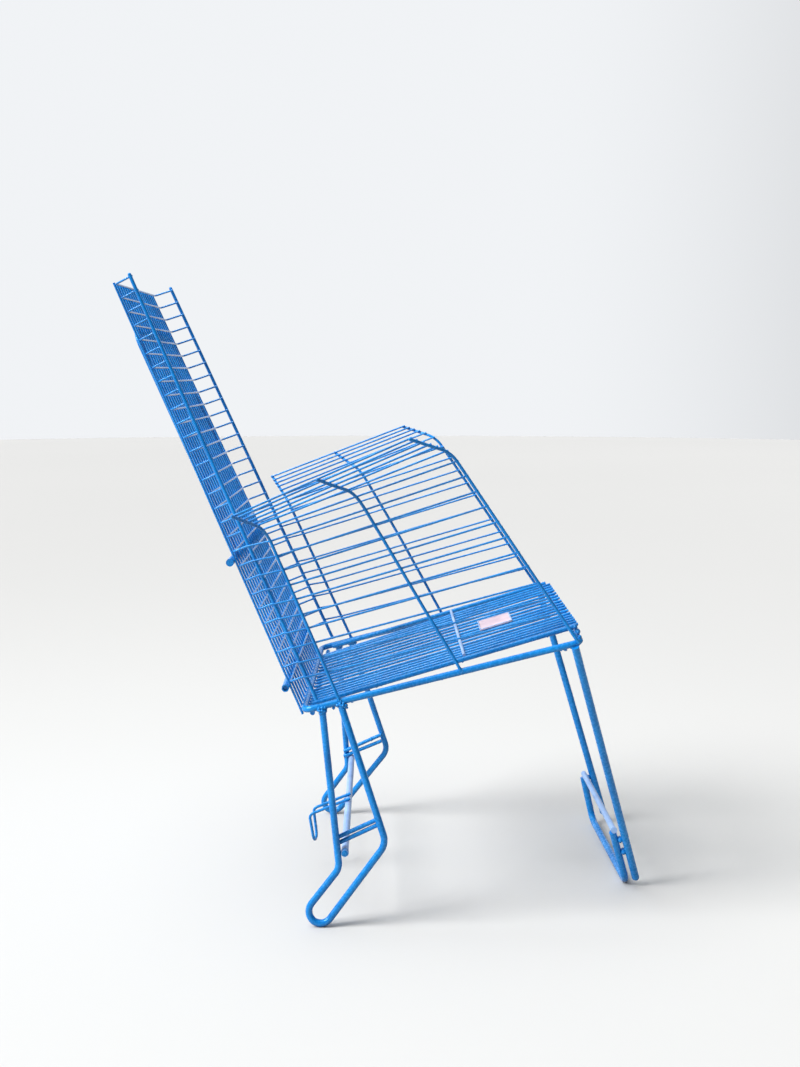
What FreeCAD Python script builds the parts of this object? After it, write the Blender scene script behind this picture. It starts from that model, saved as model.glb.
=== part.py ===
import FreeCAD, Part
import math
import os

os.makedirs("parts", exist_ok=True)

# ---------------------------------------------------------------- dimensions (mm)
# Axes: +X is the way the chair faces, +Z up, right = the sitter's right = -Y.
# The tables below are in survey coordinates. SHIFT_X and SHIFT_Y move them so that
# the origin is on the ground under the middle of the bounding box.
SHIFT_X = 33.4
SHIFT_Y = 0.0

# seat frame: one round tube bent to a closed rectangle
FRAME_R = 5.2
FRAME_CORNER_R = 15.0
FRAME_REAR_X = -152.2
FRAME_REAR_Z = 331.0
FRAME_FRONT_X = 287.0
FRAME_FRONT_Z_RIGHT = 439.5
FRAME_FRONT_Z_LEFT = 443.0
FRAME_HALF_Y = 216.0

# seat rack: straight wires on two cross rods, a side rod at each edge
RACK_X0 = -123.8
RACK_Z0 = 335.8
RACK_SLOPE = 0.302
RACK_WIRE_R = 2.35
# y of each wire where it crosses RACK_FAN_X, rear and front: they fan out a little on the left
RACK_WIRE_Y = [(-174, -176), (-158, -158.6), (-142, -142.4), (-125.5, -125.9), (-108.5, -109), (-89, -89.2),
               (-65.6, -65.6), (-43.4, -43.4), (-22.5, -23.2), (-1, -2.8), (22, 20), (43.5, 45.3), (66, 68.1),
               (89.5, 93.5), (111, 119.5), (131, 140.7), (148, 161), (159.5, 181)]
RACK_FAN_X = (-120.0, 230.0)
RACK_WIRE_X0 = -147.0
RACK_WIRE_X1 = 288.0
RACK_SIDE_R = 3.8
RACK_SIDE = {"right": ((-140.0, -181.0), (281.0, -193.5)), "left": ((-128.0, 206.5), (281.0, 197.5))}
RACK_ROD_R = 4.0
RACK_REAR_ROD_X = -139.5
RACK_FRONT_ROD_X = 284.0
RACK_CROSS_R = 2.4
RACK_POST_Y = (-190.0, 0.0, 150.0)
RACK_POST_R = 2.5
PLATE = (140.0, 196.0, -32.0, 40.0, 1.5)     # x0, x1, y0, y1, thickness

# back: shallow tray of bent cross wires, lengthwise floor wires and two edge rods
LEAN_DEG = 24.36
BACK_TOP_X = -464.3
BACK_TOP_Z = 1011.4
BACK_PITCH = 25.03
BACK_COUNT = 29
BACK_HALF_TOP = 156.0
BACK_HALF_BOTTOM = 200.0
# flanges: depth of the edge rod above the floor, flare and sag of its bent-up wires
BACK_DEPTH = {"right": 29.0, "left": 31.0}
BACK_FLARE = {"right": 13.0, "left": 10.0}
BACK_SAG = {"right": 0.0, "left": 2.5}
BACK_CORNER_R = 6.0
CROSS_WIRE_R = 1.75
FLOOR_WIRE_R = 1.95
FLOOR_WIRES = 17
EDGE_ROD_R = 3.0
UPPER_TUBE = (488.9, 6.3, 190.0)      # distance down the back, radius, half length
LOWER_TUBE = (707.0, 6.0, 202.0)
LOWER_TUBE_WALL = 1.8
LOWER_TUBE_MOUTH = 5.0
BRACE_R = 2.9
BRACE_TOP = 81.0
BRACE_HALF = 142.0
BRACE_CORNER_R = 28.0

# arms
ARM_BAR_R = 2.6
ARM_WIRE_R = 1.65
ARM_OVERHANG = 3.0
BITE = 0.05          # how far a weld lets two wires sink into each other
# bars as (bottom, bend, tip) and bend radius; wire positions are arc lengths from the bottom
ARM = {
    "right": {
        "side": -1,
        "rear": [(-94.0, -219.3, 343.0), (-214.3, -209.0, 617.4), (-254.8, -298.0, 648.5)], "rear_r": 42.0,
        "front": [(282.7, -219.3, 439.0), (81.2, -214.0, 739.7), (15.6, -250.0, 762.7)], "front_r": 45.0,
        "middle_bottom": (97.5, -219.3, 392.6),
        "rear_s": [53.1, 78.1, 103.7, 128.7, 152.3, 178.3, 202.9, 228.9, 253.0, 278.5,
                   300.7, 313.8, 325.9, 341.5, 357.6, 373.6, 386.2],
        "front_s": [55.5, 83.6, 113.1, 144.6, 171.1, 200.6, 229.2, 259.2, 287.7, 317.2,
                    345.2, 367.8, 387.3, 399.8, 412.8, 425.8, 436.8],
        "middle_t": [0.507, 0.504, 0.501, 0.499, 0.497, 0.495, 0.4925, 0.490, 0.487, 0.484,
                     0.481, 0.478, 0.476, 0.4745, 0.4735, 0.473, 0.473],
        "to_back": [28, 27, 26, 25, 24, 23, 22, 21, 20, 19],
    },
    "left": {
        "side": 1,
        "rear": [(-92.3, 219.3, 344.0), (-217.0, 209.0, 617.4), (-257.0, 298.0, 657.0)], "rear_r": 42.0,
        "front": [(273.0, 219.3, 440.5), (70.3, 214.0, 739.7), (6.6, 250.0, 759.0)], "front_r": 45.0,
        "middle_bottom": (85.0, 219.3, 391.4),
        "rear_s": [54.1, 78.1, 104.2, 127.7, 155.3, 179.8, 204.8, 230.4, 256.9, 282.0,
                   300.7, 317.3, 334.4, 350.9, 365.4, 379.9, 394.0],
        "front_s": [54.0, 83.0, 112.6, 140.6, 170.1, 197.6, 227.1, 255.1, 285.1, 313.6,
                    340.7, 364.3, 383.5, 397.6, 410.1, 421.7, 432.8],
        "middle_t": [0.486, 0.488, 0.489, 0.490, 0.491, 0.491, 0.4905, 0.489, 0.4875, 0.486,
                     0.4845, 0.483, 0.4825, 0.4825, 0.483, 0.484, 0.485],
        "to_back": [28, 27, 26, 25, 24, 23, 22, 21, 20],
    },
}

# legs
LOOP_R = 5.5
LOOP_FOOT_Y = 241.0
LOOP_TOP_Y = 218.0
LOOP_BRACE_R = 3.4
CROSS_TUBE_R = 5.75
KICK_R = 2.5
# rear leg loop, right side: (x, z) of the corners and their bend radii
LOOP = {
    "right": [(-123.4, 336.0), (-95.3, 88.9), (-150.8, 20.2), (-120.6, -1.8), (-21.7, 126.6), (-94.6, 343.0)],
    "left": [(-119.8, 336.5), (-102.5, 93.0), (-156.8, 19.8), (-127.6, -1.6), (-24.3, 127.0), (-95.6, 343.2)],
}
LOOP_BEND = [24.0, 19.0, 19.0, 27.0]
FRONT_LEG_R = 6.35
FOOT_R = 6.2
FOOT_BAR_R = 5.2
SPACER_R = 2.2
LOOP_BRACES = {
    "right": [((-101.5, 131.8), (-36.0, 160.4)), ((-101.5, 122.4), (-34.0, 152.6))],
    "left": [((-109.5, 127.4), (-36.0, 160.9)), ((-109.5, 117.4), (-36.5, 148.0))],
}
CROSS_TUBE_X = (-86.6, -94.6)
CROSS_TUBE_Z = 112.5
KICK_Y = (-21.8, 2.9)
KICK_HOOK = ((-158.2, -150.0), (-153.0, -146.5))     # x of the bend and of the tip of each wire
FRONT_LEG = {
    "right": ((278.4, -218.5, 428.0), (397.4, -91.8, 15.4)),
    "left": ((275.6, 219.0, 428.0), (390.6, 191.1, 22.0)),
}
FOOT_FRAME = [(355.9, -110.0, 97.6), (382.0, -88.0, 6.2), (370.5, 190.0, 6.2), (353.3, 194.0, 86.5)]
FOOT_CORNER_R = 20.0
FOOT_BAR = ((357.0, -116.0, 102.9), (355.0, 200.0, 91.6))
SPACER_Z = (84.0, 62.0)

lean = math.radians(LEAN_DEG)
UP = FreeCAD.Vector(-math.sin(lean), 0, math.cos(lean))      # up along the back
NRM = FreeCAD.Vector(math.cos(lean), 0, math.sin(lean))      # out of the back, to the sitter


def pt(x, y, z):
    return FreeCAD.Vector(x + SHIFT_X, y + SHIFT_Y, z)


def unit(v):
    w = FreeCAD.Vector(v)
    w.normalize()
    return w


class Path:
    """Straight runs joined by tangent arcs, measured by arc length."""

    def __init__(self, pts, radii):
        self.segs = []
        cur = pts[0]
        for i in range(1, len(pts) - 1):
            b = pts[i]
            u = unit(pts[i - 1] - b)
            w = unit(pts[i + 1] - b)
            ang = u.getAngle(w)
            r = radii[i - 1]
            t = r / math.tan(ang / 2)
            p1 = b + u * t
            p2 = b + w * t
            bis = unit(u + w)
            cen = b + bis * (r / math.sin(ang / 2))
            self.segs.append(("L", cur, p1, (p1 - cur).Length))
            self.segs.append(("A", p1, p2, r * (math.pi - ang), cen, r, cen - bis * r, u * -1))
            cur = p2
        self.segs.append(("L", cur, pts[-1], (pts[-1] - cur).Length))
        self.length = sum(s[3] for s in self.segs)

    def at(self, s):
        for k, g in enumerate(self.segs):
            if s <= g[3] or k == len(self.segs) - 1:
                if g[0] == "L":
                    d = unit(g[2] - g[1])
                    return g[1] + d * s, d
                a = s / g[5]
                e1 = unit(g[1] - g[4])
                e2 = g[7]
                p = g[4] + e1 * (g[5] * math.cos(a)) + e2 * (g[5] * math.sin(a))
                return p, unit(e1 * -math.sin(a) + e2 * math.cos(a))
            s -= g[3]

    def edges(self):
        out = []
        for g in self.segs:
            if g[0] == "L":
                if g[3] > 1e-4:
                    out.append(Part.LineSegment(g[1], g[2]).toShape())
            else:
                out.append(Part.Arc(g[1], g[6], g[2]).toShape())
        return out


def as_solid(s):
    if s.Volume < 0:
        s.reverse()
    return s


def sweep(path, r):
    p0, d0 = path.at(0.0)
    ring = Part.Wire([Part.Circle(p0, d0, r).toShape()])
    return as_solid(Part.Wire(path.edges()).makePipeShell([ring], True, False))


def sweep_spline(points, r):
    c = Part.BSplineCurve()
    c.interpolate(points)
    e = c.toShape()
    p0 = e.valueAt(e.FirstParameter)
    d0 = e.tangentAt(e.FirstParameter)
    ring = Part.Wire([Part.Circle(p0, d0, r).toShape()])
    return as_solid(Part.Wire([e]).makePipeShell([ring], True, False))


def rod(a, b, r):
    return Part.makeCylinder(r, (b - a).Length, a, b - a)


def ball(p, r):
    return Part.makeSphere(r, p)


def fuse(shapes):
    s = shapes[0]
    for t in shapes[1:]:
        s = s.fuse(t)
    s = s.removeSplitter()
    return s.Solids[0] if len(s.Solids) == 1 else s


def biggest(s):
    return max(s.Solids, key=lambda q: q.Volume)


def save(name, shapes):
    if not isinstance(shapes, (list, tuple)):
        shapes = [shapes]
    solids = []
    for s in shapes:
        solids += s.Solids
    shape = solids[0] if len(solids) == 1 else Part.makeCompound(solids)
    bad = [i for i, s in enumerate(solids) if not s.isValid() or s.Volume <= 0]
    if bad:
        print("CHECK", name, bad)
    shape.exportStep("parts/" + name + ".step")
    b = shape.optimalBoundingBox()
    print("%-26s %3d solids  x %.1f %.1f  y %.1f %.1f  z %.1f %.1f" % (
        name, len(solids), b.XMin, b.XMax, b.YMin, b.YMax, b.ZMin, b.ZMax))
    boxes.append(b)


boxes = []

# ---------------------------------------------------------------- seat frame
c_rr = pt(FRAME_REAR_X, -FRAME_HALF_Y, FRAME_REAR_Z)
c_fr = pt(FRAME_FRONT_X, -FRAME_HALF_Y, FRAME_FRONT_Z_RIGHT)
c_fl = pt(FRAME_FRONT_X, FRAME_HALF_Y, FRAME_FRONT_Z_LEFT)
c_rl = pt(FRAME_REAR_X, FRAME_HALF_Y, FRAME_REAR_Z)
mid_right = (c_rr + c_fr) * 0.5
mid_left = (c_rl + c_fl) * 0.5
front_half = sweep(Path([mid_right, c_fr, c_fl, mid_left], [FRAME_CORNER_R] * 2), FRAME_R)
rear_half = sweep(Path([mid_left, c_rl, c_rr, mid_right], [FRAME_CORNER_R] * 2), FRAME_R)
seat_frame = fuse([front_half, rear_half])
save("seat_frame_tube", seat_frame)


def rail(side, x):
    """Centre of the side rail at survey x; side -1 right, +1 left."""
    z1 = FRAME_FRONT_Z_RIGHT if side < 0 else FRAME_FRONT_Z_LEFT
    k = (z1 - FRAME_REAR_Z) / (FRAME_FRONT_X - FRAME_REAR_X)
    return pt(x, side * FRAME_HALF_Y, FRAME_REAR_Z + k * (x - FRAME_REAR_X))


# ---------------------------------------------------------------- seat rack
def rack_z(x):
    return RACK_Z0 + RACK_SLOPE * (x - RACK_X0)


ca = math.cos(math.atan(RACK_SLOPE))
drop = RACK_WIRE_R + RACK_ROD_R - BITE
# the side rods lie on the same two cross rods as the wires, so their centres are a little higher
rise = (RACK_SIDE_R - RACK_WIRE_R) / ca
for name in ("right", "left"):
    (xa, ya), (xb, yb) = RACK_SIDE[name]
    a, b = pt(xa, ya, rack_z(xa) + rise), pt(xb, yb, rack_z(xb) + rise)
    save("seat_rack_side_rod_" + name, fuse([rod(a, b, RACK_SIDE_R), ball(a, RACK_SIDE_R)]))

rz = rack_z(RACK_REAR_ROD_X) - drop / ca
save("seat_rack_rear_rod", biggest(rod(pt(RACK_REAR_ROD_X, -205, rz), pt(RACK_REAR_ROD_X, 212, rz), RACK_ROD_R).cut(seat_frame)))
fz = rack_z(RACK_FRONT_ROD_X) - drop / ca
fa = pt(RACK_FRONT_ROD_X, -199, fz)
fb = pt(RACK_FRONT_ROD_X, 203, fz)
front_rod = fuse([rod(fa, fb, RACK_ROD_R), ball(fa, RACK_ROD_R + 0.6), ball(fb, RACK_ROD_R)])
save("seat_rack_front_rod", front_rod)
# short posts carry the front rod on the front tube of the seat frame
posts = []
for y in RACK_POST_Y:
    post = rod(pt(RACK_FRONT_ROD_X + 2.0, y, fz), pt(RACK_FRONT_ROD_X + 2.0, y, FRAME_FRONT_Z_RIGHT), RACK_POST_R)
    posts.append(biggest(post.cut(front_rod).cut(seat_frame)))
save("seat_rack_posts", posts)
wires = []
for y0, y1 in RACK_WIRE_Y:
    k = (y1 - y0) / (RACK_FAN_X[1] - RACK_FAN_X[0])
    wires.append(rod(pt(RACK_WIRE_X0, y0 + k * (RACK_WIRE_X0 - RACK_FAN_X[0]), rack_z(RACK_WIRE_X0)),
                     pt(RACK_WIRE_X1, y0 + k * (RACK_WIRE_X1 - RACK_FAN_X[0]), rack_z(RACK_WIRE_X1)), RACK_WIRE_R))
save("seat_rack_wires", wires)
lift = (RACK_WIRE_R + RACK_CROSS_R - BITE) / ca
save("seat_rack_cross_rod", rod(pt(103.6, -176, rack_z(103.6) + lift), pt(98, 195, rack_z(98) + lift), RACK_CROSS_R))
x0, x1, y0, y1, th = PLATE
tilt = math.degrees(math.atan(RACK_SLOPE))
plate = Part.makeBox((x1 - x0) / ca, y1 - y0, th)
edges = [e for e in plate.Edges if abs(e.tangentAt(e.FirstParameter).z) > 0.9]
plate = plate.makeFillet(3.0, edges)
plate.rotate(FreeCAD.Vector(0, 0, 0), FreeCAD.Vector(0, 1, 0), -tilt)
n_up = FreeCAD.Vector(-math.sin(math.radians(tilt)), 0, math.cos(math.radians(tilt)))
plate.translate(pt(x0, y0, rack_z(x0)) + n_up * (RACK_WIRE_R - BITE))
save("seat_plate", plate)

# ---------------------------------------------------------------- back tray
top0 = pt(BACK_TOP_X, 0, BACK_TOP_Z)


def back_pt(d, y, n):
    """Point on the back: d down from the first cross wire, y across, n out of its floor."""
    return top0 - UP * d + NRM * n + FreeCAD.Vector(0, y, 0)


SPAN = BACK_PITCH * (BACK_COUNT - 1)


def half(d):
    return BACK_HALF_TOP + (BACK_HALF_BOTTOM - BACK_HALF_TOP) * d / SPAN


cross = []
for k in range(BACK_COUNT):
    d = k * BACK_PITCH
    h = half(d)
    inset = EDGE_ROD_R + CROSS_WIRE_R - BITE
    tips = []
    for side, name in ((-1, "right"), (1, "left")):
        reach = BACK_DEPTH[name] + 2.5
        part = reach / BACK_DEPTH[name]
        flare = (BACK_FLARE[name] + 2.4 - inset) * part
        tips.append(back_pt(d + BACK_SAG[name] * part, side * (h + flare), reach))
    pts = [tips[0], back_pt(d, -h, 0), back_pt(d, h, 0), tips[1]]
    cross.append(sweep(Path(pts, [BACK_CORNER_R] * 2), CROSS_WIRE_R))
save("back_cross_wires", cross)

for side, name in ((-1, "right"), (1, "left")):
    off = BACK_FLARE[name] + 2.3
    a = back_pt(-2.5, side * (half(-2.5) + off), BACK_DEPTH[name])
    d_end = SPAN + 40.0
    b = back_pt(d_end, side * (half(d_end) + off), BACK_DEPTH[name])
    save("back_edge_rod_" + name, fuse([rod(a, b, EDGE_ROD_R), ball(a, EDGE_ROD_R)]))

floor_n = -(CROSS_WIRE_R + FLOOR_WIRE_R - BITE)
floor_wires = []
for j in range(FLOOR_WIRES):
    f = 2.0 * j / (FLOOR_WIRES - 1) - 1
    d0, d1 = -4.0, SPAN + 56.0
    floor_wires.append(rod(back_pt(d0, f * (half(d0) - 5.0), floor_n), back_pt(d1, f * (half(d1) - 5.0), floor_n), FLOOR_WIRE_R))
save("back_floor_wires", floor_wires)

# cross tubes behind the back: a solid-ended upper one and an open-ended lower one
floor_back = floor_n - FLOOR_WIRE_R + BITE
d, r, hl = UPPER_TUBE
upper_tube = rod(back_pt(d, -hl, floor_back - r), back_pt(d, hl, floor_back - r), r)
save("back_upper_cross_tube", upper_tube)
d, r, hl = LOWER_TUBE
a, b = back_pt(d, -hl, floor_back - r), back_pt(d, hl, floor_back - r)
mouth = unit(b - a) * LOWER_TUBE_MOUTH
save("back_lower_cross_tube", rod(a, b, r).cut(rod(a, a + mouth, r - LOWER_TUBE_WALL)).cut(rod(b - mouth, b, r - LOWER_TUBE_WALL)))
a = back_pt(BRACE_TOP, 0, floor_back - BRACE_R)
legs = [back_pt(d, y, floor_back - BRACE_R) for d, y in (
    (UPPER_TUBE[0], -BRACE_HALF), (BRACE_TOP, -BRACE_HALF), (BRACE_TOP, BRACE_HALF), (UPPER_TUBE[0], BRACE_HALF))]
save("back_hairpin_brace", biggest(sweep(Path(legs, [BRACE_CORNER_R] * 2), BRACE_R).cut(upper_tube)))


# ---------------------------------------------------------------- arms
for name in ("right", "left"):
    A = ARM[name]
    side = A["side"]
    edge_off = BACK_FLARE[name] + 2.3
    rear = Path([pt(*p) for p in A["rear"]], [A["rear_r"]])
    front = Path([pt(*p) for p in A["front"]], [A["front_r"]])
    off = ARM_BAR_R + ARM_WIRE_R - BITE
    lower, upper, mids = [], [], []
    for k, (sr, sf) in enumerate(zip(A["rear_s"], A["front_s"])):
        pr, tr = rear.at(sr)
        pf, tf = front.at(sf)
        d = unit(pf - pr)
        nr = unit(tr.cross(d)) * -side
        nf = unit(tf.cross(d)) * -side
        a = pr + nr * off
        b = pf + nf * off
        w = unit(b - a)
        t = A["middle_t"][k]
        n_mid = unit(nr * (1 - t) + nf * t)
        mids.append(a + (b - a) * t - n_mid * off)
        b_end = b + w * ARM_OVERHANG
        if k < len(A["to_back"]):
            # the wire bends at the rear bar and goes on to the outer side of the back's edge rod
            dd = A["to_back"][k] * BACK_PITCH
            e = back_pt(dd, side * (half(dd) + edge_off + EDGE_ROD_R + ARM_WIRE_R - BITE), BACK_DEPTH[name])
            v = unit(e - a)
            lower.append(sweep(Path([e + v * 2.5, a, b_end], [20.0]), ARM_WIRE_R))
        else:
            upper.append(rod(a - w * ARM_OVERHANG, b_end, ARM_WIRE_R))
    save("arm_%s_rear_bar" % name, biggest(fuse([sweep(rear, ARM_BAR_R), ball(rear.at(rear.length)[0], ARM_BAR_R)]).cut(seat_frame)))
    save("arm_%s_front_bar" % name, biggest(fuse([sweep(front, ARM_BAR_R), ball(front.at(front.length)[0], ARM_BAR_R)]).cut(seat_frame)))
    tip = mids[-1] + unit(mids[-1] - mids[-2]) * 5.0
    spline = [pt(*A["middle_bottom"])] + mids + [tip]
    save("arm_%s_middle_bar" % name, biggest(fuse([sweep_spline(spline, ARM_BAR_R), ball(tip, ARM_BAR_R)]).cut(seat_frame)))
    save("arm_%s_lower_wires" % name, lower)
    save("arm_%s_upper_wires" % name, upper)

# ---------------------------------------------------------------- rear legs
for side, name in ((-1, "right"), (1, "left")):

    def loop_y(z):
        return side * (LOOP_FOOT_Y - (LOOP_FOOT_Y - LOOP_TOP_Y) * z / 333.0)

    pts = [pt(x, loop_y(z), z) for x, z in LOOP[name]]
    path = Path(pts, LOOP_BEND)
    save("rear_leg_" + name, biggest(sweep(path, LOOP_R).cut(seat_frame)))
    inner = LOOP_R + LOOP_BRACE_R - BITE
    rods = []
    for (xa, za), (xb, zb) in LOOP_BRACES[name]:
        a = pt(xa, loop_y(za) - side * inner, za)
        b = pt(xb, loop_y(zb) - side * inner, zb)
        rods.append(rod(a, b, LOOP_BRACE_R))
    save("rear_leg_braces_" + name, rods)

ends = []
for side, hy, x in ((-1, 236.0, CROSS_TUBE_X[0]), (1, 232.0, CROSS_TUBE_X[1])):
    ends.append(pt(x, side * hy, CROSS_TUBE_Z))
save("rear_leg_cross_tube", rod(ends[0], ends[1], CROSS_TUBE_R))

# kick loop: one wire bent to a narrow U, lying on the cross tube and turned down behind it
ax = ends[0] + (ends[1] - ends[0]) * ((236.0 + sum(KICK_Y) / 2) / 468.0)
kd = unit(FreeCAD.Vector(-65.8, 0, -26.3))
kn = FreeCAD.Vector(kd.z, 0, -kd.x)
contact = FreeCAD.Vector(ax.x, 0, ax.z) + kn * (CROSS_TUBE_R + KICK_R - BITE)
kick = []
for y in KICK_Y:
    bend_x, tip_x = KICK_HOOK[0] if y == KICK_Y[0] else KICK_HOOK[1]
    leg = [contact - kd * 7.0, pt(bend_x, 0, 96.0), pt(tip_x, 0, 47.5)]
    leg[1] = contact + kd * ((contact.x - leg[1].x) / -kd.x)
    leg = [FreeCAD.Vector(p.x, y + SHIFT_Y, p.z) for p in leg]
    kick += leg if y == KICK_Y[0] else leg[::-1]
half_w = (KICK_Y[1] - KICK_Y[0]) / 2.0 - 0.05
save("kick_loop", sweep(Path(kick, [9.0, half_w, half_w, 9.0]), KICK_R))

# ---------------------------------------------------------------- front legs and feet
for name, top, bottom in (("right",) + FRONT_LEG["right"], ("left",) + FRONT_LEG["left"]):
    a, b = pt(*top), pt(*bottom)
    up = unit(a - b)
    leg = fuse([rod(b, a + up * (5.0 if name == "right" else 8.5), FRONT_LEG_R), ball(b, FRONT_LEG_R)])
    save("front_leg_" + name, biggest(leg.cut(seat_frame)))

u_pts = [pt(*p) for p in FOOT_FRAME]
save("front_foot_frame", sweep(Path(u_pts, [FOOT_CORNER_R] * 2), FOOT_R))
a, b = pt(*FOOT_BAR[0]), pt(*FOOT_BAR[1])
save("front_foot_top_bar", rod(a, b, FOOT_BAR_R))

# spacers bridge the gap between each upright of the foot frame and the leg beside it
spacers = []
for name, (u_top, u_bot) in (("right", (u_pts[0], u_pts[1])), ("left", (u_pts[3], u_pts[2]))):
    leg_top, leg_bot = pt(*FRONT_LEG[name][0]), pt(*FRONT_LEG[name][1])
    for z in SPACER_Z:
        p = u_bot + (u_top - u_bot) * ((z - u_bot.z) / (u_top.z - u_bot.z))
        q = leg_bot + (leg_top - leg_bot) * ((z + 3.0 - leg_bot.z) / (leg_top.z - leg_bot.z))
        g = unit(q - p)
        spacers.append(rod(p + g * (FOOT_R - 0.4), q - g * (FRONT_LEG_R - 0.4), SPACER_R))
        print("spacer gap", name, z, (q - p).Length - FOOT_R - FRONT_LEG_R)
save("front_foot_spacers", spacers)

print("TOTAL x %.1f %.1f y %.1f %.1f z %.1f %.1f" % (
    min(b.XMin for b in boxes), max(b.XMax for b in boxes), min(b.YMin for b in boxes),
    max(b.YMax for b in boxes), min(b.ZMin for b in boxes), max(b.ZMax for b in boxes)))
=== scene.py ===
import math

import bmesh
import bpy
import numpy as np
import random
from mathutils import Matrix, Vector
from mathutils.bvhtree import BVHTree


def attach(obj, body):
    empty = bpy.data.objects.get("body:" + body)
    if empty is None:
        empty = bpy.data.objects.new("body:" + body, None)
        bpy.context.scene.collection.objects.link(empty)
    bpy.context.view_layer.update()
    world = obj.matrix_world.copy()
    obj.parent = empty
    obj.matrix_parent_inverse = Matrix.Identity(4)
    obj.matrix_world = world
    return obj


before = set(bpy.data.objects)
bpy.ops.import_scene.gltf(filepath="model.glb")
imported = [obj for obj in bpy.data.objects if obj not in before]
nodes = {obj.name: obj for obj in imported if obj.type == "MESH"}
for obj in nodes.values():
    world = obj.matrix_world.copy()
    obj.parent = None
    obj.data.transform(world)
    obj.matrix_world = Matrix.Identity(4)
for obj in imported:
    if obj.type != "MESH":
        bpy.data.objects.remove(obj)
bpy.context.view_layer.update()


# ---------------------------------------------------------------- materials
def node(nt, kind, x, y, **kw):
    n = nt.nodes.new(kind)
    n.location = (x, y)
    for k, v in kw.items():
        setattr(n, k, v)
    return n


def ramp(nt, x, y, stops):
    r = node(nt, "ShaderNodeValToRGB", x, y)
    e = r.color_ramp.elements
    while len(e) > 1:
        e.remove(e[-1])
    e[0].position, e[0].color = stops[0][0], stops[0][1]
    for p, c in stops[1:]:
        k = e.new(p)
        k.color = c
    return r


def g(v):
    return (v, v, v, 1)


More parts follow.
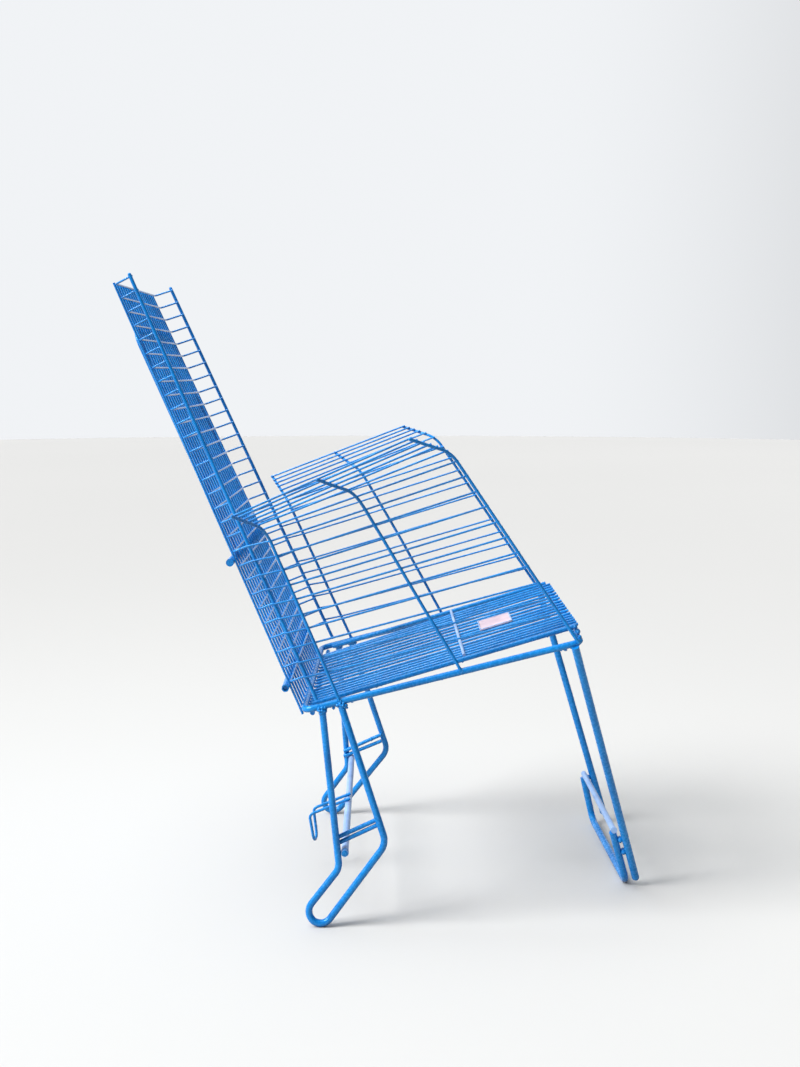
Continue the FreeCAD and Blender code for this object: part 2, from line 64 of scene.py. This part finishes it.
# the last argument sets how dark the painted shade gets on the sides facing away from the light
def enamel(name, deep, mid, pale, rough=(0.18, 0.34), wear=0.5, bump=0.07, coat=0.0, painted_shade_min=0.42):
    """Thick glossy enamel brushed over weathered steel: colour drifts, sags, pinholes and rubbed spots, and painted
    shade darkening the sides that face down and away from the light.
    """
    m = bpy.data.materials.new(name)
    m.use_nodes = True
    nt = m.node_tree
    nt.nodes.clear()
    out = node(nt, "ShaderNodeOutputMaterial", 900, 0)
    b = node(nt, "ShaderNodeBsdfPrincipled", 620, 0)
    nt.links.new(b.outputs[0], out.inputs[0])
    tc = node(nt, "ShaderNodeTexCoord", -1200, 0)
    # slow drift of the paint's depth along each member
    n1 = node(nt, "ShaderNodeTexNoise", -900, 300)
    n1.inputs["Scale"].default_value = 16.0
    n1.inputs["Detail"].default_value = 4.0
    n1.inputs["Roughness"].default_value = 0.6
    nt.links.new(tc.outputs["Object"], n1.inputs["Vector"])
    r1 = ramp(nt, -650, 300, [(0.28, deep + (1,)), (0.5, mid + (1,)), (0.74, pale + (1,))])
    nt.links.new(n1.outputs["Fac"], r1.inputs[0])
    # fine mottle from thin and thick paint
    n2 = node(nt, "ShaderNodeTexNoise", -900, 60)
    n2.inputs["Scale"].default_value = 190.0
    n2.inputs["Detail"].default_value = 3.0
    nt.links.new(tc.outputs["Object"], n2.inputs["Vector"])
    r2 = ramp(nt, -650, 60, [(0.30, g(0.90)), (0.55, g(1.0)), (0.75, g(1.06))])
    nt.links.new(n2.outputs["Fac"], r2.inputs[0])
    mul = node(nt, "ShaderNodeMix", -380, 220, data_type="RGBA", blend_type="MULTIPLY")
    mul.inputs[0].default_value = 0.75
    nt.links.new(r1.outputs[0], mul.inputs[6])
    nt.links.new(r2.outputs[0], mul.inputs[7])
    # rubbed spots, where the paint is thin and the primer shows through
    n3 = node(nt, "ShaderNodeTexNoise", -900, -200)
    n3.inputs["Scale"].default_value = 75.0
    n3.inputs["Detail"].default_value = 8.0
    n3.inputs["Roughness"].default_value = 0.72
    nt.links.new(tc.outputs["Object"], n3.inputs["Vector"])
    r3 = ramp(nt, -650, -200, [(0.0, g(0.0)), (0.665, g(0.0)), (0.72, g(wear))])
    nt.links.new(n3.outputs["Fac"], r3.inputs[0])
    mix = node(nt, "ShaderNodeMix", -140, 160, data_type="RGBA", blend_type="MIX")
    nt.links.new(r3.outputs[0], mix.inputs[0])
    nt.links.new(mul.outputs[2], mix.inputs[6])
    mix.inputs[7].default_value = (0.20, 0.36, 0.62, 1)
    # pinholes and chips down to dark metal
    n4 = node(nt, "ShaderNodeTexVoronoi", -900, -440)
    n4.inputs["Scale"].default_value = 130.0
    n4.inputs["Randomness"].default_value = 1.0
    nt.links.new(tc.outputs["Object"], n4.inputs["Vector"])
    r4 = ramp(nt, -650, -440, [(0.0, g(1.0)), (0.055, g(1.0)), (0.10, g(0.0))])
    nt.links.new(n4.outputs["Distance"], r4.inputs[0])
    n5 = node(nt, "ShaderNodeTexNoise", -900, -640)
    n5.inputs["Scale"].default_value = 9.0
    nt.links.new(tc.outputs["Object"], n5.inputs["Vector"])
    r5 = ramp(nt, -650, -640, [(0.0, g(0.0)), (0.58, g(0.0)), (0.66, g(1.0))])
    nt.links.new(n5.outputs["Fac"], r5.inputs[0])
    chip = node(nt, "ShaderNodeMath", -380, -500, operation="MULTIPLY")
    nt.links.new(r4.outputs[0], chip.inputs[0])
    nt.links.new(r5.outputs[0], chip.inputs[1])
    mix2 = node(nt, "ShaderNodeMix", 120, 160, data_type="RGBA", blend_type="MIX")
    nt.links.new(chip.outputs[0], mix2.inputs[0])
    nt.links.new(mix.outputs[2], mix2.inputs[6])
    mix2.inputs[7].default_value = (0.035, 0.03, 0.05, 1)
    # painted shade: the base colour is darkened on the sides that face down and away from the key light, by the world
    # normal
    geo = node(nt, "ShaderNodeNewGeometry", -380, 520)
    dot = node(nt, "ShaderNodeVectorMath", -160, 520, operation="DOT_PRODUCT")
    dot.inputs[1].default_value = (-0.45, -0.20, 0.87)
    nt.links.new(geo.outputs["Normal"], dot.inputs[0])
    shade = node(nt, "ShaderNodeMapRange", 60, 520)
    for k, v in (("From Min", -0.75), ("From Max", 0.25), ("To Min", painted_shade_min), ("To Max", 1.0)):
        shade.inputs[k].default_value = v
    nt.links.new(dot.outputs["Value"], shade.inputs["Value"])
    dark = node(nt, "ShaderNodeVectorMath", 340, 360, operation="SCALE")
    nt.links.new(mix2.outputs[2], dark.inputs[0])
    nt.links.new(shade.outputs[0], dark.inputs["Scale"])
    nt.links.new(dark.outputs[0], b.inputs["Base Color"])
    # roughness follows the mottle and rises where it is rubbed
    rr = node(nt, "ShaderNodeMapRange", -380, -120)
    rr.inputs["From Min"].default_value = 0.3
    rr.inputs["From Max"].default_value = 0.7
    rr.inputs["To Min"].default_value = rough[0]
    rr.inputs["To Max"].default_value = rough[1]
    nt.links.new(n2.outputs["Fac"], rr.inputs["Value"])
    ra = node(nt, "ShaderNodeMath", -140, -120, operation="MULTIPLY_ADD")
    ra.inputs[1].default_value = 0.35
    nt.links.new(r3.outputs[0], ra.inputs[0])
    nt.links.new(rr.outputs[0], ra.inputs[2])
    nt.links.new(ra.outputs[0], b.inputs["Roughness"])
    # sags and brush marks in the paint film
    n6 = node(nt, "ShaderNodeTexNoise", -900, -860)
    n6.inputs["Scale"].default_value = 420.0
    n6.inputs["Detail"].default_value = 2.0
    nt.links.new(tc.outputs["Object"], n6.inputs["Vector"])
    add = node(nt, "ShaderNodeMath", -640, -880, operation="MULTIPLY_ADD")
    add.inputs[1].default_value = 0.35
    nt.links.new(n6.outputs["Fac"], add.inputs[0])
    nt.links.new(n2.outputs["Fac"], add.inputs[2])
    sub = node(nt, "ShaderNodeMath", -420, -880, operation="MULTIPLY_ADD")
    sub.inputs[1].default_value = -0.8
    nt.links.new(chip.outputs[0], sub.inputs[0])
    nt.links.new(add.outputs[0], sub.inputs[2])
    bp = node(nt, "ShaderNodeBump", 300, -500)
    bp.inputs["Strength"].default_value = bump
    bp.inputs["Distance"].default_value = 0.0012
    nt.links.new(sub.outputs[0], bp.inputs["Height"])
    nt.links.new(bp.outputs[0], b.inputs["Normal"])
    b.inputs["Metallic"].default_value = 0.0
    b.inputs["IOR"].default_value = 1.70
    b.inputs["Specular Tint"].default_value = (0.42, 0.80, 1.0, 1)
    b.inputs["Coat Weight"].default_value = coat
    b.inputs["Coat Roughness"].default_value = 0.10
    return m


BLUE = enamel("blue_enamel", (0.002, 0.165, 0.55), (0.003, 0.225, 0.69), (0.008, 0.290, 0.82), wear=0.22)
BLUE_WIRE = enamel("blue_enamel_wire", (0.002, 0.175, 0.57), (0.004, 0.240, 0.73), (0.010, 0.320, 0.87), wear=0.10, coat=0.45)
# painted highlight: a paler copy of the blue for the cross members that catch the light and the sky reflection; the
# same pale blue is also the thin paint at the plate's edge
PALE_THIN_AND_LIT = enamel("blue_enamel_thin_and_lit", (0.20, 0.34, 0.70), (0.30, 0.47, 0.82), (0.44, 0.62, 0.93), rough=(0.30, 0.45), wear=0.6)
BARE = enamel("bare_plate", (0.48, 0.34, 0.42), (0.62, 0.47, 0.54), (0.78, 0.66, 0.72), rough=(0.45, 0.7), wear=0.25)

WIRE_NODES = ("seat_rack_wires", "back_cross_wires", "back_floor_wires", "arm_right_lower_wires", "arm_right_upper_wires",
              "arm_left_lower_wires", "arm_left_upper_wires")
# these members take the pale copy of the blue as a painted highlight
LIT_PALE_NODES = ("rear_leg_cross_tube", "front_foot_top_bar", "seat_rack_cross_rod")
for name, o in nodes.items():
    mat = BARE if name == "seat_plate" else PALE_THIN_AND_LIT if name in LIT_PALE_NODES else BLUE_WIRE if name in WIRE_NODES else BLUE
    o.data.materials.clear()
    o.data.materials.append(mat)

# ---------------------------------------------------------------- welds, lumps and paint runs
GROW = 0.0002          # surfaces are grown by this much to find where two members touch
rnd = random.Random(11)


def islands(o):
    """The separate solids of a node: corner positions, triangles and search tree of each, in metres."""
    me = o.data
    me.calc_loop_triangles()
    co = np.empty(len(me.vertices) * 3, np.float64)
    me.vertices.foreach_get("co", co)
    co = co.reshape(-1, 3)
    tri = np.empty(len(me.loop_triangles) * 3, np.int64)
    me.loop_triangles.foreach_get("vertices", tri)
    tri = tri.reshape(-1, 3)
    _, first, back = np.unique(np.round(co * 1e6).astype(np.int64), axis=0, return_index=True, return_inverse=True)
    back = back.reshape(-1)
    co, tri = co[first], back[tri]
    tri = tri[(tri[:, 0] != tri[:, 1]) & (tri[:, 1] != tri[:, 2]) & (tri[:, 0] != tri[:, 2])]
    root = np.arange(len(co))
    while True:
        low = root[tri].min(1)
        new = root.copy()
        for k in range(3):
            np.minimum.at(new, tri[:, k], low)
        new = new[new]
        if (new == root).all():
            break
        root = new
    out = []
    for r in np.unique(root[tri[:, 0]]):
        t = tri[root[tri[:, 0]] == r]
        used = np.unique(t)
        idx = np.full(len(co), -1)
        idx[used] = np.arange(len(used))
        p, t = co[used], idx[t]
        fn = np.cross(p[t[:, 1]] - p[t[:, 0]], p[t[:, 2]] - p[t[:, 0]])
        vn = np.zeros_like(p)
        for k in range(3):
            np.add.at(vn, t[:, k], fn)
        vn /= np.maximum(np.linalg.norm(vn, axis=1), 1e-15)[:, None]
        p = p + vn * GROW
        tree = BVHTree.FromPolygons([tuple(v) for v in p], [tuple(int(i) for i in f) for f in t])
        out.append((p, t, p.min(0), p.max(0), tree))
    return out


def edge_hits(e, f):
    """Where the edges of triangles e cut triangles f."""
    v0 = f[:, 0]
    a, b = f[:, 1] - v0, f[:, 2] - v0
    n = np.cross(a, b)
    nn = (n * n).sum(1)
    got = []
    for m in range(3):
        s, t = e[:, m], e[:, (m + 1) % 3]
        ds, dt = ((s - v0) * n).sum(1), ((t - v0) * n).sum(1)
        ok = (ds * dt <= 0) & (ds != dt) & (nn > 1e-24)
        with np.errstate(all="ignore"):
            x = s + (t - s) * (ds / (ds - dt))[:, None]
            w = x - v0
            c1 = (np.cross(a, w) * n).sum(1) / nn
            c2 = (np.cross(w, b) * n).sum(1) / nn
            ok &= (c1 >= 0) & (c2 >= 0) & (c1 + c2 <= 1)
        got.append(x[ok])
    return np.concatenate(got)


def meet(a, b):
    """Points where two members' grown surfaces cut each other."""
    pairs = np.array(a[4].overlap(b[4]), np.int64).reshape(-1, 2)
    if not len(pairs):
        return np.zeros((0, 3))
    p, q = a[0][a[1][pairs[:, 0]]], b[0][b[1][pairs[:, 1]]]
    return np.concatenate([edge_hits(p, q), edge_hits(q, p)])


class Lumps:
    """Many small uneven blobs of weld metal or paint gathered in one mesh."""

    def __init__(self, name, detail=1):
        self.name, self.verts, self.faces = name, [], []
        bm = bmesh.new()
        bmesh.ops.create_icosphere(bm, subdivisions=detail, radius=1.0)
        self.unit = np.array([v.co[:] for v in bm.verts])
        self.tris = np.array([[v.index for v in f.verts] for f in bm.faces])
        bm.free()
        self.n = 0

    def add(self, at, axes, sizes, rough=0.10):
        """A blob at a point; axes are three unit rows, sizes its half widths along them."""
        k = np.array([rnd.uniform(-1, 1) for _ in range(6)])
        u = self.unit
        f = 1 + rough * (k[0] * u[:, 0] * u[:, 1] + k[1] * u[:, 1] * u[:, 2] + k[2] * u[:, 0] * u[:, 2]
                         + 0.6 * k[3] * np.sin(3 * u[:, 0] + k[4] * 3) + 0.6 * k[5] * np.sin(3 * u[:, 1] + k[3] * 3))
        v = (u * f[:, None] * np.array(sizes)) @ np.array(axes) + np.array(at)
        self.verts.append(v)
        self.faces.append(self.tris + self.n)
        self.n += len(v)

    def make(self, slot, mat):
        v, f = np.concatenate(self.verts), np.concatenate(self.faces)
        me = bpy.data.meshes.new(self.name)
        me.from_pydata([tuple(x) for x in v], [], [tuple(int(i) for i in x) for x in f])
        me.polygons.foreach_set("use_smooth", [True] * len(me.polygons))
        me.materials.append(mat)
        o = bpy.data.objects.new(self.name, me)
        bpy.context.scene.collection.objects.link(o)
        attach(o, "root")
        return o


EYE = np.eye(3)


def weld(lumps, pts, bead):
    """A single nugget where two wires cross, or a bead of overlapping blobs along a longer seam."""
    cen = pts.mean(0)
    u, s, vt = np.linalg.svd(pts - cen, full_matrices=False)
    along = (pts - cen) @ vt.T
    ext = along.max(0) - along.min(0)
    if ext[0] < 0.0070:
        w = rnd.uniform(0.92, 1.12)
        lumps.add(cen, vt, (ext[0] * 0.5 * w + 0.0002, ext[1] * 0.5 * w + 0.0003, 0.0009 * w + 0.3 * ext[2]))
        return
    if ext[0] > 0.045:
        near = np.minimum(along[:, 0] - along[:, 0].min(), along[:, 0].max() - along[:, 0])
        pts = pts[near < 0.009]
    order = list(range(len(pts)))
    rnd.shuffle(order)
    kept = []
    for i in order:
        if all(np.linalg.norm(pts[i] - k) > bead * 0.85 for k in kept):
            kept.append(pts[i])
    for k in kept:
        r = bead * rnd.uniform(0.82, 1.12)
        lumps.add(k, EYE, (r, r, r), 0.14)


solid = {n: islands(o) for n, o in sorted(nodes.items())}
GROUPS = (("back", "welds_back"), ("arm", "welds_arms"), ("seat", "welds_seat"), ("", "welds_legs"))
lumps = {g_[1]: Lumps(g_[1]) for g_ in GROUPS}
BEADS = {("rear_leg", "seat_frame"): 0.0034, ("front_leg", "seat_frame"): 0.0018, ("rear_leg_cross", "rear_leg"): 0.0020,
         ("arm_", "seat_frame"): 0.0013, ("front_foot_frame", "front_foot_top"): 0.0018}
names = sorted(solid)
for i, na in enumerate(names):
    for nb in names[i + 1:]:
        if "plate" in na or "plate" in nb:
            continue
        bead = 0.0016
        for (x, y), r in BEADS.items():
            if (na.startswith(x) and nb.startswith(y)) or (nb.startswith(x) and na.startswith(y)):
                bead = r
        where = next(g_[1] for g_ in GROUPS if na.startswith(g_[0]) or nb.startswith(g_[0]))
        if "leg" in na or "leg" in nb:
            where = "welds_legs"
        for a in solid[na]:
            for b in solid[nb]:
                if (a[2] > b[3]).any() or (b[2] > a[3]).any():
                    continue
                pts = meet(a, b)
                if len(pts) > 2:
                    weld(lumps[where], pts, bead)

SX = 0.0334            # survey to frame, along X
legs = lumps["welds_legs"]


def lump(x, y, z, rx, ry, rz):
    legs.add((x / 1000 + SX, y / 1000, z / 1000), EYE, (rx / 1000, ry / 1000, rz / 1000), 0.15)


# the seam left under the near rail between the two tops of the rear leg loop, and lumps beside it
for k in range(12):
    t = k / 11.0
    lump(-119.0 + 23.0 * t, -216.5 + rnd.uniform(-0.6, 0.6), 335.4 + 5.2 * t + rnd.uniform(-0.5, 0.3), 2.2, 2.4, 2.0)
lump(-105.2, -216.0, 335.0, 3.0, 2.6, 3.1)
lump(-126.5, -217.5, 333.8, 3.2, 3.0, 2.2)
for k in range(10):
    t = k / 9.0
    lump(-116.0 + 20.0 * t, 216.5, 334.6 + 5.4 * t + rnd.uniform(-0.4, 0.3), 2.1, 2.4, 1.9)
lump(-118.0, 216.4, 333.4, 3.6, 3.2, 3.0)
lump(-91.5, 216.4, 341.0, 3.6, 3.2, 3.0)
lump(261.8, -215.8, 427.6, 3.6, 2.6, 2.6)
lump(255.5, -215.8, 426.3, 2.2, 2.0, 1.5)
lump(-55.7, 221.6, 151.9, 4.6, 4.7, 4.5)


def collar(x, y, z, r, n, size, drop=0.0):
    """A ring of lumps round a tube that stands nearly upright."""
    for m in range(n):
        t = 2 * math.pi * (m + rnd.uniform(-0.25, 0.25)) / n
        s = size * rnd.uniform(0.8, 1.2)
        lump(x + r * math.cos(t), y + r * math.sin(t), z - rnd.uniform(0, drop), s, s, s * 1.15)


# heavy weld collars where the loops' tops meet the side rails
collar(-123.2, -218.2, 334.2, 5.6, 12, 2.5, 3.5)
collar(-122.8, -218.2, 329.8, 5.2, 8, 1.7, 3.0)
collar(-90.5, -218.2, 342.0, 5.6, 12, 2.5, 3.5)
collar(-88.9, -218.2, 337.2, 5.2, 8, 1.7, 3.0)
collar(-119.0, 218.2, 334.4, 5.6, 12, 2.4, 3.0)
collar(-91.5, 218.2, 341.6, 5.6, 12, 2.4, 3.0)
# the lump that ends the front rod at the near corner, and the welds below it
lump(280.2, -198.5, 460.2, 4.3, 4.6, 4.2)
lump(284.0, -203.0, 452.0, 3.4, 3.4, 3.8)
lump(286.5, -207.0, 446.0, 3.2, 3.6, 3.2)
lump(275.0, -203.0, 450.5, 2.6, 2.6, 2.4)

# thick beads round the spacers of the foot frame
for p_, t_, lo_, hi_, tree_ in solid["front_foot_spacers"]:
    mid = (lo_ + hi_) / 2
    legs.add(mid, EYE, (0.0040, (hi_[1] - lo_[1]) / 2 + 0.0012, 0.0046), 0.12)
    for end_y in (lo_[1], hi_[1]):
        legs.add((mid[0], end_y, mid[2]), EYE, (0.0046, 0.0030, 0.0052), 0.12)

# paint runs: small sags that hang from the under side of the larger members
runs = Lumps("paint_runs", 2)
for name, count in (("seat_frame_tube", 26), ("rear_leg_cross_tube", 4), ("rear_leg_right", 7), ("rear_leg_left", 6),
                    ("front_leg_right", 4), ("front_leg_left", 4), ("front_foot_top_bar", 3), ("back_upper_cross_tube", 5),
                    ("back_lower_cross_tube", 5), ("seat_rack_side_rod_right", 4), ("seat_rack_side_rod_left", 4)):
    p, t = solid[name][0][0], solid[name][0][1]
    fn = np.cross(p[t[:, 1]] - p[t[:, 0]], p[t[:, 2]] - p[t[:, 0]])
    size = np.linalg.norm(fn, axis=1)
    under = np.where((fn[:, 2] < -0.80 * size) & (p[t].mean(1)[:, 2] > 0.02))[0]
    if not len(under):
        continue
    share = np.cumsum(size[under])
    for _ in range(count):
        f = under[int(np.searchsorted(share, rnd.random() * share[-1]))]
        u, v = rnd.random(), rnd.random()
        if u + v > 1:
            u, v = 1 - u, 1 - v
        at = p[t[f, 0]] + (p[t[f, 1]] - p[t[f, 0]]) * u + (p[t[f, 2]] - p[t[f, 0]]) * v
        r = rnd.uniform(0.0007, 0.0013)
        runs.add(at + np.array([0, 0, 0.0002]), EYE, (r * 1.9, r * 1.3, r * 1.1), 0.12)
# paint brushed up to the edge of the bare plate
rim = Lumps("plate_rim")
pp = solid["seat_plate"][0][0]
lo, hi = pp.min(0), pp.max(0)
slope = 0.302


def on_plate(u, v):
    x = lo[0] + u * (hi[0] - lo[0])
    return np.array([x, lo[1] + v * (hi[1] - lo[1]), hi[2] - slope * (hi[0] - x)])


loop = [(0.02, 0.03), (0.98, 0.03), (0.98, 0.97), (0.02, 0.97), (0.02, 0.03)]
for (u0, v0), (u1, v1) in zip(loop, loop[1:]):
    steps = int(np.linalg.norm(on_plate(u1, v1) - on_plate(u0, v0)) / 0.0011)
    for k in range(steps):
        t = k / steps
        r = rnd.uniform(0.0009, 0.0016)
        rim.add(on_plate(u0 + (u1 - u0) * t, v0 + (v1 - v0) * t) + np.array([0, 0, 0.0002]), EYE, (r, r, r * 0.6), 0.2)
rim.make("blue_paint", PALE_THIN_AND_LIT)

tube_pts = solid["rear_leg_cross_tube"][0][0]
ends = [tube_pts[tube_pts[:, 1] < tube_pts[:, 1].min() + 0.0008].mean(0), tube_pts[tube_pts[:, 1] > tube_pts[:, 1].max() - 0.0008].mean(0)]
line = (ends[1] - ends[0]) / np.linalg.norm(ends[1] - ends[0])
side_a = np.cross(line, [0, 0, 1.0])
side_a /= np.linalg.norm(side_a)
side_b = np.cross(line, side_a)
profile = [(-0.0002, 0.0), (-0.0004, 0.0034), (0.0, 0.0050), (0.0010, 0.0060), (0.0022, 0.0063), (0.0042, 0.0063), (0.0052, 0.0059), (0.0062, 0.00600),
           (0.0074, 0.0062), (0.0084, 0.0058)]
verts, faces = [], []
for end, d in ((ends[0], line), (ends[1], -line)):
    base = len(verts)
    for s, r in profile:
        for m in range(24):
            t = 2 * math.pi * m / 24
            wob = 1 + 0.02 * math.sin(3 * t + 700 * s)
            verts.append(tuple(end + d * s + (side_a * math.cos(t) + side_b * math.sin(t)) * r * wob))
    for a in range(len(profile) - 1):
        for m in range(24):
            n = (m + 1) % 24
            faces.append((base + a * 24 + m, base + a * 24 + n, base + (a + 1) * 24 + n, base + (a + 1) * 24 + m))
cm = bpy.data.meshes.new("cross_tube_caps")
cm.from_pydata(verts, [], faces)
cm.polygons.foreach_set("use_smooth", [True] * len(cm.polygons))
cm.materials.append(BLUE)
caps = bpy.data.objects.new("cross_tube_caps", cm)
bpy.context.scene.collection.objects.link(caps)
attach(caps, "root")
for key, group in lumps.items():
    if group.n:
        group.make("blue_paint", BLUE)
runs.make("blue_paint", BLUE)

# ---------------------------------------------------------------- floor, light, camera
bm = bmesh.new()
bmesh.ops.create_circle(bm, cap_ends=True, segments=96, radius=14.0)
me = bpy.data.meshes.new("floor")
bm.to_mesh(me)
bm.free()
floor = bpy.data.objects.new("floor", me)
bpy.context.scene.collection.objects.link(floor)
fm = bpy.data.materials.new("pale_floor")
fm.use_nodes = True
fb = fm.node_tree.nodes["Principled BSDF"]
fn = node(fm.node_tree, "ShaderNodeTexNoise", -500, 0)
fn.inputs["Scale"].default_value = 3.0
fn.inputs["Detail"].default_value = 6.0
fr = ramp(fm.node_tree, -280, 0, [(0.3, (0.65, 0.65, 0.645, 1)), (0.7, (0.68, 0.68, 0.675, 1))])
fm.node_tree.links.new(fn.outputs["Fac"], fr.inputs[0])
fm.node_tree.links.new(fr.outputs[0], fb.inputs["Base Color"])
fb.inputs["Roughness"].default_value = 0.9
floor.data.materials.append(fm)

w = bpy.data.worlds.new("studio")
w.use_nodes = True
wt = w.node_tree
back = wt.nodes["Background"]
back.inputs[0].default_value = (0.955, 0.975, 1.0, 1)
wc = node(wt, "ShaderNodeTexCoord", -900, 0)
ws = node(wt, "ShaderNodeSeparateXYZ", -700, 0)
wt.links.new(wc.outputs["Generated"], ws.inputs[0])
# bright screens ahead, above and to the left; darker behind the viewer and to the right
fy = node(wt, "ShaderNodeMapRange", -480, 120, interpolation_type="SMOOTHSTEP")
for k, v in (("From Min", -0.30), ("From Max", 0.20), ("To Min", 0.28), ("To Max", 1.0)):
    fy.inputs[k].default_value = v
wt.links.new(ws.outputs["Y"], fy.inputs["Value"])
fx = node(wt, "ShaderNodeMapRange", -480, -160, interpolation_type="SMOOTHSTEP")
for k, v in (("From Min", 0.10), ("From Max", 0.85), ("To Min", 1.0), ("To Max", 0.25)):
    fx.inputs[k].default_value = v
wt.links.new(ws.outputs["X"], fx.inputs["Value"])
fm_ = node(wt, "ShaderNodeMath", -280, 0, operation="MULTIPLY")
wt.links.new(fy.outputs[0], fm_.inputs[0])
wt.links.new(fx.outputs[0], fm_.inputs[1])
fs = node(wt, "ShaderNodeMath", -120, 0, operation="MULTIPLY")
fs.inputs[1].default_value = 0.92
wt.links.new(fm_.outputs[0], fs.inputs[0])
wt.links.new(fs.outputs[0], back.inputs[1])
bpy.context.scene.world = w
bpy.context.scene.view_settings.view_transform = "Standard"


sun_data = bpy.data.lights.new("key", "SUN")
sun_data.energy = 3.7
sun_data.angle = math.radians(26)
sun_data.color = (1.0, 0.985, 0.96)
sun = bpy.data.objects.new("key", sun_data)
sun.rotation_euler = (Vector((0, 0, 0)) - Vector((-2.6, -0.8, 2.25))).to_track_quat("-Z", "Y").to_euler()
bpy.context.scene.collection.objects.link(sun)

top_data = bpy.data.lights.new("overhead", "AREA")
top_data.shape = "DISK"
top_data.size = 0.9
top_data.energy = 20
top_data.color = (0.93, 0.98, 1.0)
top = bpy.data.objects.new("overhead", top_data)
top.location = (-0.75, -0.25, 2.6)
top.rotation_euler = (Vector((0, 0, 0.4)) - Vector(top.location)).to_track_quat("-Z", "Y").to_euler()
bpy.context.scene.collection.objects.link(top)

cam_data = bpy.data.cameras.new("camera")
cam = bpy.data.objects.new("camera", cam_data)
bpy.context.scene.collection.objects.link(cam)
cam.location = (0.0334, -2.118, 0.8692)
cam.rotation_euler = (math.radians(90), 0, 0)
cam_data.sensor_fit = "AUTO"
cam_data.sensor_width = 36.0
cam_data.lens = 1200.0 * 36.0 / 1067.0
cam_data.shift_x = 0.0
cam_data.shift_y = -162.5 / 1067.0
cam_data.clip_start = 0.05
cam_data.clip_end = 60.0
bpy.context.scene.camera = cam
